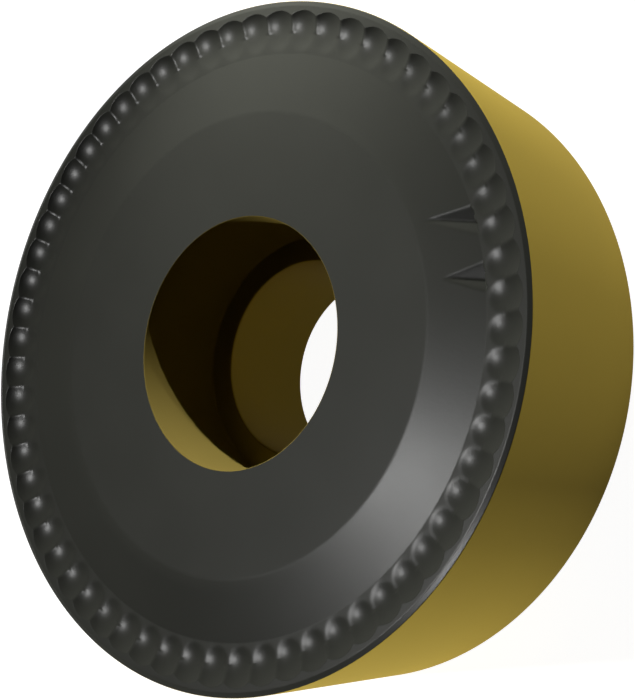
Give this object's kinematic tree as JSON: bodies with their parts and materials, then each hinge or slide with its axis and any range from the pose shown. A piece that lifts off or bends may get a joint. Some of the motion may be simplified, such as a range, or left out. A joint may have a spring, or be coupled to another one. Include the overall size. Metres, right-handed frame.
{
  "type": "round turning insert",
  "caption": "Round turning insert with a tapered flank, bevelled cutting edge, ring of ball-shaped dimples, shallow cone, flat raised centre and stepped through hole.",
  "frame": {"origin": "centre of the flat seat, on the axis of the hole", "axes": "+Z along the hole's axis, from the seat to the dimpled top; +X towards the side of the two index marks"},
  "size_m": [0.025, 0.025, 0.0079],
  "materials": {
    "coated_carbide": "dark grey hard coating on the top, with a satin gold coating on the flank and in the hole"
  },
  "bodies": {
    "root": {"insert": "coated_carbide"}
  },
  "joints": []
}
